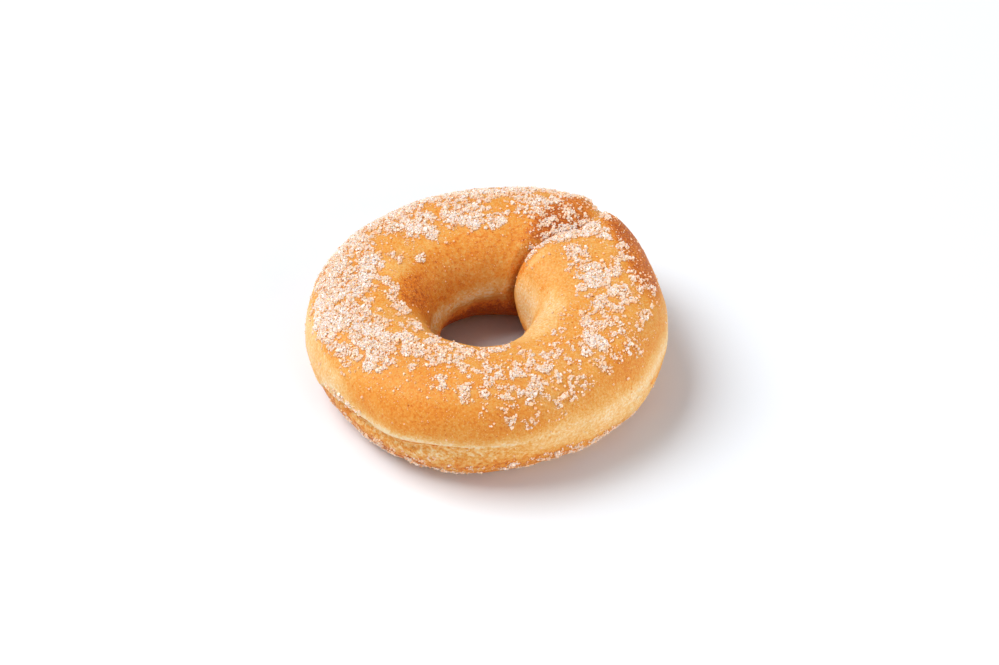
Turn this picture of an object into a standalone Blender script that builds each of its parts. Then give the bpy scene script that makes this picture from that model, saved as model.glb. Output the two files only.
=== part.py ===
"""Sugared ring doughnut: a rope of yeast dough bent round and joined end to end, with coarse sugar on it.

Metres, +Z up. The front is at -Y and the right at +X. The doughnut rests on z = 0, and the origin is
under the middle of its bounding box.

The skin is a grid. One direction runs along the rope, as an angle round the ring, from the tail at
the seam to the head that lies over it. The other runs round the rope's section: 0 degrees is the
outer waist, 90 the crown, 180 the waist inside the hole and 270 the base.
"""
from dataclasses import dataclass
import math

import bmesh
import bpy
from mathutils import Matrix, Vector
import numpy as np

MM = 0.001


@dataclass(frozen=True)
class Station:
    """The rope's section at one angle round the ring: degrees, then millimetres."""

    angle: float
    outer: float
    inner: float
    crown: float
    waist: float
    foot: float


@dataclass(frozen=True)
class Wave:
    """A gentle swell of the skin: how often it rises round the ring and round the section."""

    rounds: int
    turns: int
    phase: float
    height: float


@dataclass(frozen=True)
class Drift:
    """A patch where the sugar lies thick: its middle and its half extents, all in degrees."""

    angle: float
    section: float
    half_angle: float
    half_section: float


# The ring, read where the rope's shape changes. Outer and inner are radii, and foot is how far the
# lower half stands further into the hole than the upper one.
STATIONS = (
    Station(angle=52, outer=51.8, inner=15.0, crown=29.5, waist=16.0, foot=-2.4),
    Station(angle=85, outer=47.2, inner=14.0, crown=29.8, waist=15.4, foot=-2.6),
    Station(angle=125, outer=45.0, inner=13.6, crown=28.5, waist=13.5, foot=-1.0),
    Station(angle=170, outer=44.5, inner=13.6, crown=27.0, waist=12.5, foot=3.0),
    Station(angle=215, outer=42.5, inner=13.3, crown=27.0, waist=12.4, foot=3.4),
    Station(angle=255, outer=42.7, inner=13.2, crown=27.0, waist=13.8, foot=1.0),
    Station(angle=300, outer=41.2, inner=12.9, crown=27.0, waist=15.2, foot=-0.5),
    Station(angle=345, outer=43.8, inner=10.8, crown=28.2, waist=13.6, foot=0.8),
    Station(angle=385, outer=45.7, inner=11.6, crown=28.4, waist=14.2, foot=0.8),
    Station(angle=412, outer=50.8, inner=12.7, crown=29.0, waist=14.9, foot=0.0),
)
RING_RADIUS = 30.5 * MM

# The section: fuller than an ellipse, and cut flat where it rests. On the front left the upper half
# overhangs the lower one, with a groove under its lip.
UPPER_ROUNDNESS = 2.43
LOWER_ROUNDNESS = 2.37
SINK = 0.5 * MM
FOOT_SHARPNESS = 0.35
LIP = 0.3 * MM
LIP_DEEPEST = 0.5 * MM
LIP_ANGLE = 222.0
LIP_SPAN = 60.0
LIP_SHARPNESS = 0.18
GROOVE_DEEPEST = 0.8 * MM
GROOVE_DROP = 0.09
GROOVE_WIDTH = 0.06
SWELLS = (
    Wave(rounds=3, turns=1, phase=0.6, height=0.25 * MM),
    Wave(rounds=5, turns=2, phase=2.1, height=0.18 * MM),
    Wave(rounds=9, turns=3, phase=4.0, height=0.10 * MM),
)
WAIST_WOBBLE = (
    Wave(rounds=7, turns=0, phase=1.1, height=0.35 * MM),
    Wave(rounds=16, turns=0, phase=3.0, height=0.20 * MM),
)

# The seam: the head is a blunt dome that leans over the tail, and the tail dips to meet it.
HEAD_LENGTH = 11.2 * MM
HEAD_TURN = 112.0
TAIL_LENGTH = 5.0 * MM
CREASE_OUTSIDE = 2.0 * MM
CREASE_IN_HOLE = 2.5 * MM
CREASE_ON_TOP = 2.2 * MM
CREASE_BELOW = 1.6 * MM
LEAN_IN_HOLE = 11.9
LEAN_ON_TOP = -7.1
LEAN_OUTSIDE = 1.5
LEAN_REACH = 65.0

# The grid of the solid.
RINGS = 74
HEAD_RINGS = 8
SECTION_POINTS = 40
WAIST_FOCUS = 0.20
LIP_FOCUS = 0.15
SHARP_ANGLE = math.radians(40.0)

# The coarsest sugar, fused on the dough where it lies thick.
DRIFTS = (
    Drift(angle=185, section=68, half_angle=38, half_section=38),
    Drift(angle=112, section=92, half_angle=34, half_section=24),
    Drift(angle=74, section=82, half_angle=17, half_section=24),
    Drift(angle=396, section=66, half_angle=8, half_section=22),
    Drift(angle=350, section=74, half_angle=24, half_section=34),
    Drift(angle=298, section=62, half_angle=18, half_section=36),
    Drift(angle=252, section=106, half_angle=26, half_section=18),
)
CRYSTALS = 110
CRYSTAL_SIZE = 0.95 * MM
CRYSTAL_SPREAD = 0.15
CRYSTAL_SPACING = 3.4 * MM
CRYSTAL_LIFT = 0.18
CRYSTAL_TILT = math.radians(24.0)
SUGARED_SECTION = (20.0, 150.0)
SUGAR_SEED = 11
SLOPE_STEP = 0.5

CRUST_COLOUR = (0.81, 0.36, 0.095, 1.0)
CRUST_ROUGHNESS = 0.55


def ease(amount):
    """A smooth step from 0 to 1."""
    amount = np.clip(amount, 0.0, 1.0)
    return amount * amount * (3.0 - 2.0 * amount)


def along_stations(name, angle):
    """One dimension of the stations, in metres, as a smooth curve read at the ring angles."""
    angles = np.array([station.angle for station in STATIONS], dtype=float)
    values = np.array([getattr(station, name) for station in STATIONS]) * MM
    slopes = np.gradient(values, angles)
    left = np.clip(np.searchsorted(angles, angle, side="right") - 1, 0, len(angles) - 2)
    gap = angles[left + 1] - angles[left]
    t = (angle - angles[left]) / gap
    start = (1.0 + 2.0 * t) * (1.0 - t) ** 2 * values[left] + t * (1.0 - t) ** 2 * gap * slopes[left]
    end = t * t * (3.0 - 2.0 * t) * values[left + 1] + t * t * (t - 1.0) * gap * slopes[left + 1]
    return start + end


def waves(swells, angle, turn):
    """The sum of some waves at a ring angle in degrees and a section angle in radians."""
    ring = np.radians(angle)
    return sum(
        wave.height * np.sin(wave.rounds * ring + wave.phase) * np.cos(wave.turns * turn - wave.phase)
        for wave in swells
    )


def section(angle, turn):
    """Radius and height of the plain rope's skin, before the seam shapes it."""
    angle = np.clip(angle, STATIONS[0].angle, STATIONS[-1].angle)
    outer = along_stations("outer", angle)
    inner = along_stations("inner", angle)
    crown = along_stations("crown", angle)
    waist = along_stations("waist", angle) + waves(WAIST_WOBBLE, angle, turn)
    out, up = np.cos(turn), np.sin(turn)
    rise = np.where(up >= 0.0, crown - waist, waist + SINK)
    roundness = np.where(up >= 0.0, UPPER_ROUNDNESS, LOWER_ROUNDNESS)
    flat = np.abs(out / (0.5 * (outer - inner))) ** roundness
    steep = np.abs(up / rise) ** roundness
    reach = (flat + steep) ** (-1.0 / roundness) + waves(SWELLS, angle, turn)
    radius = 0.5 * (outer + inner) + reach * out
    tucked = ease(1.0 - np.abs(angle - LIP_ANGLE) / LIP_SPAN)
    lip = (LIP + LIP_DEEPEST * tucked) * ease(-up / LIP_SHARPNESS)
    groove = GROOVE_DEEPEST * tucked * np.exp(-(((up + GROOVE_DROP) / GROOVE_WIDTH) ** 2))
    radius = radius - (lip + groove) * np.clip(out, 0.0, 1.0)
    foot = along_stations("foot", angle) * ease(-up / FOOT_SHARPNESS)
    radius = radius - foot * np.clip(-out, 0.0, 1.0)
    return radius, waist + reach * up


def crease(turn):
    """Radius and height of the bottom of the seam's crease, which lies inside both head and tail."""
    tail_radius, tail_height = section(np.full_like(turn, STATIONS[0].angle), turn)
    head_radius, head_height = section(np.full_like(turn, STATIONS[-1].angle), turn)
    out, up = np.cos(turn), np.sin(turn)
    radius = np.where(out > 0.0, np.minimum(tail_radius, head_radius), np.maximum(tail_radius, head_radius))
    height = np.where(up > 0.0, np.minimum(tail_height, head_height), np.maximum(tail_height, head_height))
    radius = radius - CREASE_OUTSIDE * np.clip(out, 0.0, 1.0) ** 2
    radius = radius + CREASE_IN_HOLE * np.clip(-out, 0.0, 1.0) ** 2
    height = height - CREASE_ON_TOP * np.clip(up, 0.0, 1.0) ** 2
    return radius, height + CREASE_BELOW * np.clip(-up, 0.0, 1.0) ** 2


def skin(rope, bend, turn):
    """Points of the skin.

    rope is the angle round the ring in degrees, up to where the head starts to round off; bend is 0
    there and grows over the head's dome, in degrees; turn is the angle round the section in radians.
    """
    per_metre = math.degrees(1.0 / RING_RADIUS)
    first, last = STATIONS[0].angle, STATIONS[-1].angle
    angle = rope + HEAD_LENGTH * per_metre * np.sin(np.radians(bend))
    radius, height = section(angle, turn)
    low_radius, low_height = crease(turn)
    tail_radius, tail_height = section(np.full_like(turn, first), turn)
    dip = ease(1.0 - (rope - first) / (TAIL_LENGTH * per_metre))
    closing = (1.0 - np.cos(np.radians(bend))) / (1.0 - math.cos(math.radians(HEAD_TURN)))
    radius = radius + dip * (low_radius - tail_radius)
    height = height + dip * (low_height - tail_height)
    radius = radius + closing * (low_radius - radius)
    height = np.maximum(height + closing * (low_height - height), 0.0)
    out, up = np.cos(turn), np.sin(turn)
    lean = LEAN_IN_HOLE * np.clip(-out, 0.0, 1.0) + LEAN_OUTSIDE * np.clip(out, 0.0, 1.0)
    lean = lean + LEAN_ON_TOP * np.clip(up, 0.0, 1.0)
    near_seam = ease(1.0 - (angle - first) / LEAN_REACH) + ease(1.0 - (last - angle) / LEAN_REACH)
    around = np.radians(angle + lean * near_seam)
    return np.stack([radius * np.cos(around), radius * np.sin(around), height], axis=-1)


def head_start():
    """The ring angle where the head starts to round off."""
    return STATIONS[-1].angle - math.degrees(HEAD_LENGTH / RING_RADIUS)


def dough_grid():
    """The skin's points, ring by ring: the rope from tail to head, then the head's dome."""
    rope = np.linspace(STATIONS[0].angle, head_start(), RINGS, endpoint=False)
    rope = np.concatenate([rope, np.full(HEAD_RINGS, head_start())])
    bend = np.concatenate([np.zeros(RINGS), np.linspace(0.0, HEAD_TURN, HEAD_RINGS)])
    even = np.linspace(0.0, 2.0 * math.pi, SECTION_POINTS, endpoint=False)
    turn = even - WAIST_FOCUS * np.sin(2.0 * even) - LIP_FOCUS * np.sin(even)
    rope, turn = np.meshgrid(rope, turn, indexing="ij")
    return skin(rope, np.broadcast_to(bend[:, None], rope.shape), turn)


def closed_grid_mesh(name, points):
    """A closed mesh from a grid of points that joins up in both directions."""
    rings, count, _ = points.shape
    mesh = bpy.data.meshes.new(name)
    faces = [
        (
            ring * count + point,
            (ring + 1) % rings * count + point,
            (ring + 1) % rings * count + (point + 1) % count,
            ring * count + (point + 1) % count,
        )
        for ring in range(rings)
        for point in range(count)
    ]
    mesh.from_pydata(points.reshape(-1, 3).tolist(), [], faces)
    work = bmesh.new()
    work.from_mesh(mesh)
    bmesh.ops.recalc_face_normals(work, faces=work.faces)
    work.to_mesh(mesh)
    work.free()
    return mesh


def crust_material():
    """Golden fried crust."""
    material = bpy.data.materials.new("crust")
    material.use_nodes = True
    shader = material.node_tree.nodes["Principled BSDF"]
    shader.inputs["Base Color"].default_value = CRUST_COLOUR
    shader.inputs["Roughness"].default_value = CRUST_ROUGHNESS
    shader.inputs["Metallic"].default_value = 0.0
    return material


def in_a_drift(angle, section_angle):
    """Whether the sugar lies thick at a place on the skin, both angles in degrees."""
    return any(
        math.hypot(
            (angle - drift.angle) / drift.half_angle,
            (section_angle - drift.section) / drift.half_section,
        ) < 1.0
        for drift in DRIFTS
    )


def skin_frame(angle, section_angle):
    """A point of the skin and the direction straight out of it."""
    offsets = np.array([[0.0, 0.0], [SLOPE_STEP, 0.0], [0.0, SLOPE_STEP]])
    turn = np.radians(section_angle + offsets[:, 1])
    here, further, round_on = skin(angle + offsets[:, 0], np.zeros(3), turn)
    out = Vector(further - here).cross(Vector(round_on - here)).normalized()
    return Vector(here), -out


def crystal_places(rng):
    """Places for the crystals: spread evenly over the drifts, none close to another."""
    places = []
    while len(places) < CRYSTALS:
        angle = rng.uniform(STATIONS[0].angle, head_start())
        section_angle = rng.uniform(*SUGARED_SECTION)
        if not in_a_drift(angle, section_angle):
            continue
        point, out = skin_frame(angle, section_angle)
        if all((point - other).length > CRYSTAL_SPACING for other, _ in places):
            places.append((point, out))
    return places


def add_crystal(index, point, out, rng, collection):
    """A blocky sugar crystal, seated a little way into the crust."""
    work = bmesh.new()
    bmesh.ops.create_cube(work, size=CRYSTAL_SIZE)
    sides = rng.uniform(1.0 - CRYSTAL_SPREAD, 1.0 + CRYSTAL_SPREAD, size=3)
    turned = Matrix.Rotation(rng.uniform(0.0, 2.0 * math.pi), 4, "Z")
    tilted = Matrix.Rotation(rng.uniform(-CRYSTAL_TILT, CRYSTAL_TILT), 4, "X")
    seat = Matrix.Translation(point + out * CRYSTAL_LIFT * CRYSTAL_SIZE)
    upright = out.to_track_quat("Z", "Y").to_matrix().to_4x4()
    work.transform(seat @ upright @ turned @ tilted @ Matrix.Diagonal((*sides, 1.0)))
    mesh = bpy.data.meshes.new(f"crystal_{index}")
    work.to_mesh(mesh)
    work.free()
    collection.objects.link(bpy.data.objects.new(mesh.name, mesh))


def sugar_crystals():
    """A collection of the coarsest crystals."""
    collection = bpy.data.collections.new("crystals")
    bpy.context.scene.collection.children.link(collection)
    rng = np.random.default_rng(SUGAR_SEED)
    for index, (point, out) in enumerate(crystal_places(rng)):
        add_crystal(index, point, out, rng, collection)
    return collection


def fuse(body, pieces):
    """Join a body and a collection of pieces in one solid, and remove the pieces."""
    union = body.modifiers.new("fuse", "BOOLEAN")
    union.operation = "UNION"
    union.solver = "EXACT"
    union.operand_type = "COLLECTION"
    union.collection = pieces
    depsgraph = bpy.context.evaluated_depsgraph_get()
    fused = bpy.data.meshes.new_from_object(body.evaluated_get(depsgraph))
    body.modifiers.clear()
    body.data = fused
    for piece in list(pieces.objects):
        bpy.data.objects.remove(piece)
    bpy.data.collections.remove(pieces)


def centre_over_origin(mesh):
    """Move a mesh sideways so that its bounding box is centred on the Z axis."""
    points = np.array([vertex.co for vertex in mesh.vertices])
    middle = 0.5 * (points.min(axis=0) + points.max(axis=0))
    mesh.transform(Matrix.Translation((-middle[0], -middle[1], 0.0)))


def doughnut():
    """The whole doughnut, dough and coarse sugar, as one solid."""
    body = bpy.data.objects.new("doughnut", closed_grid_mesh("doughnut", dough_grid()))
    bpy.context.scene.collection.objects.link(body)
    fuse(body, sugar_crystals())
    centre_over_origin(body.data)
    body.data.materials.clear()
    body.data.materials.append(crust_material())
    body.data.shade_smooth()
    body.data.set_sharp_from_angle(angle=SHARP_ANGLE)
    return body


def main():
    for old in list(bpy.data.objects):
        bpy.data.objects.remove(old)
    doughnut()


main()
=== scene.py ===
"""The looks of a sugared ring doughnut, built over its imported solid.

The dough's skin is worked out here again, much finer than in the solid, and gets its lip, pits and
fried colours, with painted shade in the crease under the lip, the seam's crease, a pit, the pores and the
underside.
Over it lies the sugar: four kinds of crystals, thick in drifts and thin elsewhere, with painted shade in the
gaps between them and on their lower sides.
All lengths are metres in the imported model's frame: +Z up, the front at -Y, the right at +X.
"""

import logging
import math
from dataclasses import dataclass
from enum import Enum

import bpy
import numpy as np
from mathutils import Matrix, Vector

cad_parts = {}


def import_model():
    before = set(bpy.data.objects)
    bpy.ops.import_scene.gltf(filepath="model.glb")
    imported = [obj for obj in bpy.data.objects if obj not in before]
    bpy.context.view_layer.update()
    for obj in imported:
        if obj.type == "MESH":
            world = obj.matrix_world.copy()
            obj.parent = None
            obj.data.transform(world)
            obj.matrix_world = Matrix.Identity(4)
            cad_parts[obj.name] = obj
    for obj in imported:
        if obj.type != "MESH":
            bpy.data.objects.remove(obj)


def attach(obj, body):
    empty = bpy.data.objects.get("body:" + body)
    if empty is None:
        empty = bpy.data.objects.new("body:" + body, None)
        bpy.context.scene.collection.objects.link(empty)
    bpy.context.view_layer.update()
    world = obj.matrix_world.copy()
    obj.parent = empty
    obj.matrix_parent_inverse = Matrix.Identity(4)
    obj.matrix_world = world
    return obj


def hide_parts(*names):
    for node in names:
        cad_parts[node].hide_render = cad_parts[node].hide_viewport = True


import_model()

LOG = logging.getLogger("doughnut")
MM = 0.001
BODY = "root"
DOUGH_NODE = "doughnut"
PHOTO_WIDTH = 999.0
PHOTO_HEIGHT = 665.0

Array = np.ndarray
Colour = tuple[float, float, float]
Mesh = bpy.types.Mesh
Node = bpy.types.Node
Object = bpy.types.Object
Socket = bpy.types.NodeSocket


def ease(amount: Array) -> Array:
    """Give a smooth step from 0 to 1."""
    amount = np.clip(amount, 0.0, 1.0)
    return amount * amount * (3.0 - 2.0 * amount)


def bell(value: Array, middle: float, width: float) -> Array:
    """Give a soft hump that is 1 in the middle and falls to a third at the width."""
    return np.exp(-(((value - middle) / width) ** 2))


def lattice_noise(points: Array, wavelength: float, seed: int) -> Array:
    """Give smooth random values from -1 to 1 that change over about one wavelength.

    Args:
        points: places in metres, with x, y and z last.
        wavelength: the distance between the lattice's random values.
        seed: which lattice of random values to use.

    Returns:
        One value for each place.
    """
    cells = 32
    lattice = np.random.default_rng(seed).uniform(-1.0, 1.0, (cells, cells, cells))
    scaled = points / wavelength + cells
    corner = np.floor(scaled).astype(int)
    part = scaled - corner
    part = part**3 * (part * (part * 6.0 - 15.0) + 10.0)
    total = np.zeros(points.shape[:-1])
    for step in np.ndindex(2, 2, 2):
        weight = np.prod(np.where(step, part, 1.0 - part), axis=-1)
        index = (corner + step) % cells
        total += weight * lattice[index[..., 0], index[..., 1], index[..., 2]]
    return total


@dataclass(frozen=True)
class Noise:
    """Smooth random values that change over about one wavelength, from minus to plus the height."""

    wavelength: float
    height: float
    seed: int

    def at(self, points: Array) -> Array:
        """Give the value at each point."""
        return self.height * lattice_noise(points, self.wavelength, self.seed)


@dataclass(frozen=True)
class Band:
    """A range, such as of rope angles: its start, its end, and how far in it fades at each."""

    start: float
    end: float
    soft_start: float
    soft_end: float

    def share(self, value: Array) -> Array:
        """Give 0 outside the range, rising to 1 past its soft ends."""
        return ease((value - self.start) / self.soft_start) * ease((self.end - value) / self.soft_end)


def past(start: float, soft: float = 1.0) -> Band:
    """Make a band that starts softly and has no end."""
    return Band(start, math.inf, soft, 1.0)


def before(end: float, soft: float = 1.0) -> Band:
    """Make a band that has no start and ends softly."""
    return Band(-math.inf, end, 1.0, soft)


@dataclass(frozen=True)
class Station:
    """The rope's section at one angle round the ring: degrees, then sizes in millimetres."""

    angle: float
    outer: float
    inner: float
    crown: float
    waist: float
    foot: float


@dataclass(frozen=True)
class Wave:
    """A gentle swell of the skin: how often it rises round the ring and round the section."""

    rounds: int
    turns: int
    phase: float
    height: float


@dataclass(frozen=True)
class DoughShape:
    """The skin of the joined rope of dough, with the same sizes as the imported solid.

    Places on it are two angles. The rope's runs round the ring from the tail, at the seam, to the
    head. The section's is 0 degrees at the outer waist, 90 at the crown and 180 in the hole.
    """

    stations: tuple[Station, ...] = (
        Station(52, 51.8, 15.0, 29.5, 16.0, -2.4),
        Station(85, 47.2, 14.0, 29.8, 15.4, -2.6),
        Station(125, 45.0, 13.6, 28.5, 13.5, -1.0),
        Station(170, 44.5, 13.6, 27.0, 12.5, 3.0),
        Station(215, 42.5, 13.3, 27.0, 12.4, 3.4),
        Station(255, 42.7, 13.2, 27.0, 13.8, 1.0),
        Station(300, 41.2, 12.9, 27.0, 15.2, -0.5),
        Station(345, 43.8, 10.8, 28.2, 13.6, 0.8),
        Station(385, 45.7, 11.6, 28.4, 14.2, 0.8),
        Station(412, 50.8, 12.7, 29.0, 14.9, 0.0),
    )
    ring_radius: float = 30.5 * MM
    upper_roundness: float = 2.43
    lower_roundness: float = 2.37
    sink: float = 0.5 * MM
    foot_sharpness: float = 0.35
    lip: float = 0.3 * MM
    lip_deepest: float = 0.5 * MM
    lip_angle: float = 222.0
    lip_span: float = 60.0
    lip_sharpness: float = 0.18
    groove_deepest: float = 0.8 * MM
    groove_drop: float = 0.09
    groove_width: float = 0.06
    swells: tuple[Wave, ...] = (
        Wave(3, 1, phase=0.6, height=0.25 * MM),
        Wave(5, 2, phase=2.1, height=0.18 * MM),
        Wave(9, 3, phase=4.0, height=0.10 * MM),
    )
    waist_wobble: tuple[Wave, ...] = (
        Wave(7, 0, phase=1.1, height=0.35 * MM),
        Wave(16, 0, phase=3.0, height=0.20 * MM),
    )
    head_length: float = 11.2 * MM
    head_turn: float = 112.0
    tail_length: float = 5.0 * MM
    crease_outside: float = 2.0 * MM
    crease_in_hole: float = 2.5 * MM
    crease_on_top: float = 2.2 * MM
    crease_below: float = 1.6 * MM
    lean_in_hole: float = 11.9
    lean_on_top: float = -7.1
    lean_outside: float = 1.5
    lean_reach: float = 65.0
    centre: tuple[float, float] = (-0.11 * MM, -2.31 * MM)

    @property
    def tail(self) -> float:
        """Give the rope angle of the tail's end."""
        return self.stations[0].angle

    @property
    def head(self) -> float:
        """Give the rope angle of the head's end."""
        return self.stations[-1].angle

    @property
    def head_start(self) -> float:
        """Give the rope angle where the head starts to round off."""
        return self.head - math.degrees(self.head_length / self.ring_radius)

    def along(self, name: str, angle: Array) -> Array:
        """Read one dimension of the stations as a smooth curve.

        Args:
            name: the station's field.
            angle: rope angles in degrees.

        Returns:
            The dimension in metres at each angle.
        """
        angles = np.array([station.angle for station in self.stations], dtype=float)
        values = np.array([getattr(station, name) for station in self.stations]) * MM
        slopes = np.gradient(values, angles)
        left = np.clip(np.searchsorted(angles, angle, side="right") - 1, 0, len(angles) - 2)
        gap = angles[left + 1] - angles[left]
        t = (angle - angles[left]) / gap
        start = (1.0 + 2.0 * t) * (1.0 - t) ** 2 * values[left] + t * (1.0 - t) ** 2 * gap * slopes[left]
        end = t * t * (3.0 - 2.0 * t) * values[left + 1] + t * t * (t - 1.0) * gap * slopes[left + 1]
        return start + end

    @staticmethod
    def waves(swells: tuple[Wave, ...], angle: Array, turn: Array) -> Array:
        """Add up some waves at rope angles in degrees and section angles in radians."""
        ring = np.radians(angle)
        return sum(
            wave.height * np.sin(wave.rounds * ring + wave.phase) * np.cos(wave.turns * turn - wave.phase)
            for wave in swells
        )

    def section(self, angle: Array, turn: Array) -> tuple[Array, Array]:
        """Work out the plain rope's skin, before the seam shapes it.

        Args:
            angle: rope angles in degrees.
            turn: section angles in radians.

        Returns:
            The radius and height at each place, in metres.
        """
        angle = np.clip(angle, self.tail, self.head)
        outer, inner = self.along("outer", angle), self.along("inner", angle)
        crown = self.along("crown", angle)
        waist = self.along("waist", angle) + self.waves(self.waist_wobble, angle, turn)
        out, up = np.cos(turn), np.sin(turn)
        rise = np.where(up >= 0.0, crown - waist, waist + self.sink)
        roundness = np.where(up >= 0.0, self.upper_roundness, self.lower_roundness)
        flat = np.abs(out / (0.5 * (outer - inner))) ** roundness
        steep = np.abs(up / rise) ** roundness
        reach = (flat + steep) ** (-1.0 / roundness) + self.waves(self.swells, angle, turn)
        radius = 0.5 * (outer + inner) + reach * out
        tucked = ease(1.0 - np.abs(angle - self.lip_angle) / self.lip_span)
        lip = (self.lip + self.lip_deepest * tucked) * ease(-up / self.lip_sharpness)
        groove = self.groove_deepest * tucked * bell(up, -self.groove_drop, self.groove_width)
        radius = radius - (lip + groove) * np.clip(out, 0.0, 1.0)
        foot = self.along("foot", angle) * ease(-up / self.foot_sharpness)
        radius = radius - foot * np.clip(-out, 0.0, 1.0)
        return radius, waist + reach * up

    def crease(self, turn: Array) -> tuple[Array, Array]:
        """Work out the seam's bottom, which lies inside head and tail.

        Args:
            turn: section angles in radians.

        Returns:
            The radius and height at each angle, in metres.
        """
        tail_radius, tail_height = self.section(np.full_like(turn, self.tail), turn)
        head_radius, head_height = self.section(np.full_like(turn, self.head), turn)
        out, up = np.cos(turn), np.sin(turn)
        narrow, wide = np.minimum(tail_radius, head_radius), np.maximum(tail_radius, head_radius)
        low, high = np.minimum(tail_height, head_height), np.maximum(tail_height, head_height)
        radius = np.where(out > 0.0, narrow, wide) - self.crease_outside * np.clip(out, 0.0, 1.0) ** 2
        radius = radius + self.crease_in_hole * np.clip(-out, 0.0, 1.0) ** 2
        height = np.where(up > 0.0, low, high) - self.crease_on_top * np.clip(up, 0.0, 1.0) ** 2
        return radius, height + self.crease_below * np.clip(-up, 0.0, 1.0) ** 2

    def skin(self, rope: Array, bend: Array, turn: Array) -> Array:
        """Give points of the skin.

        Args:
            rope: rope angles in degrees, up to where the head starts to round off.
            bend: 0 on the rope; over the head's dome it grows, in degrees.
            turn: section angles in radians.

        Returns:
            Points with x, y and z last.
        """
        per_metre = math.degrees(1.0 / self.ring_radius)
        angle = rope + self.head_length * per_metre * np.sin(np.radians(bend))
        radius, height = self.section(angle, turn)
        low_radius, low_height = self.crease(turn)
        tail_radius, tail_height = self.section(np.full_like(turn, self.tail), turn)
        dip = ease(1.0 - (rope - self.tail) / (self.tail_length * per_metre))
        closing = (1.0 - np.cos(np.radians(bend))) / (1.0 - math.cos(math.radians(self.head_turn)))
        radius = radius + dip * (low_radius - tail_radius)
        height = height + dip * (low_height - tail_height)
        radius = radius + closing * (low_radius - radius)
        height = np.maximum(height + closing * (low_height - height), 0.0)
        out, up = np.cos(turn), np.sin(turn)
        lean = self.lean_in_hole * np.clip(-out, 0.0, 1.0) + self.lean_outside * np.clip(out, 0.0, 1.0)
        lean = lean + self.lean_on_top * np.clip(up, 0.0, 1.0)
        near_tail = ease(1.0 - (angle - self.tail) / self.lean_reach)
        near_head = ease(1.0 - (self.head - angle) / self.lean_reach)
        around = np.radians(angle + lean * (near_tail + near_head))
        x = radius * np.cos(around) + self.centre[0]
        y = radius * np.sin(around) + self.centre[1]
        return np.stack([x, y, height], axis=-1)


@dataclass
class Skin:
    """The fine grid of the skin: its points, normals and the angles they lie at."""

    points: Array
    normals: Array
    angle: Array
    section: Array


@dataclass(frozen=True)
class Pit:
    """A small hole in the skin: its place in degrees, its radius and its depth."""

    angle: float
    section: float
    radius: float
    depth: float


PATCH_EDGE = before(1.35, 0.7)


@dataclass(frozen=True)
class Patch:
    """A soft-edged area of the skin in degrees, with how much of something it holds."""

    angle: float
    section: float
    half_angle: float
    half_section: float
    amount: float

    def spread(self, skin: Skin) -> Array:
        """Give the patch's amount over the skin, fading out past its half extents."""
        along = (skin.angle - self.angle) / self.half_angle
        across = (skin.section - self.section) / self.half_section
        return self.amount * PATCH_EDGE.share(np.hypot(along, across))


def patches(*rows: tuple[float, float, float, float, float]) -> tuple[Patch, ...]:
    """Make patches from rows of angle, section, half angle, half section and amount."""
    return tuple(Patch(*row) for row in rows)


def add_up(many: tuple[Patch, ...], skin: Skin) -> Array:
    """Give the sum of some patches' amounts over the skin."""
    return sum(patch.spread(skin) for patch in many)


def strongest(many: tuple[Patch, ...], skin: Skin) -> Array:
    """Give the largest of some patches' amounts over the skin."""
    return np.max([patch.spread(skin) for patch in many], axis=0)


def grid_normals(points: Array) -> Array:
    """Work out the outward unit normals of a grid that joins up in both directions.

    Args:
        points: the grid's points, with x, y and z last.

    Returns:
        A normal for each point.
    """
    along = np.roll(points, -1, axis=0) - np.roll(points, 1, axis=0)
    across = np.roll(points, -1, axis=1) - np.roll(points, 1, axis=1)
    normals = np.cross(along, across)
    return normals / np.maximum(np.linalg.norm(normals, axis=-1, keepdims=True), 1e-12)


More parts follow.
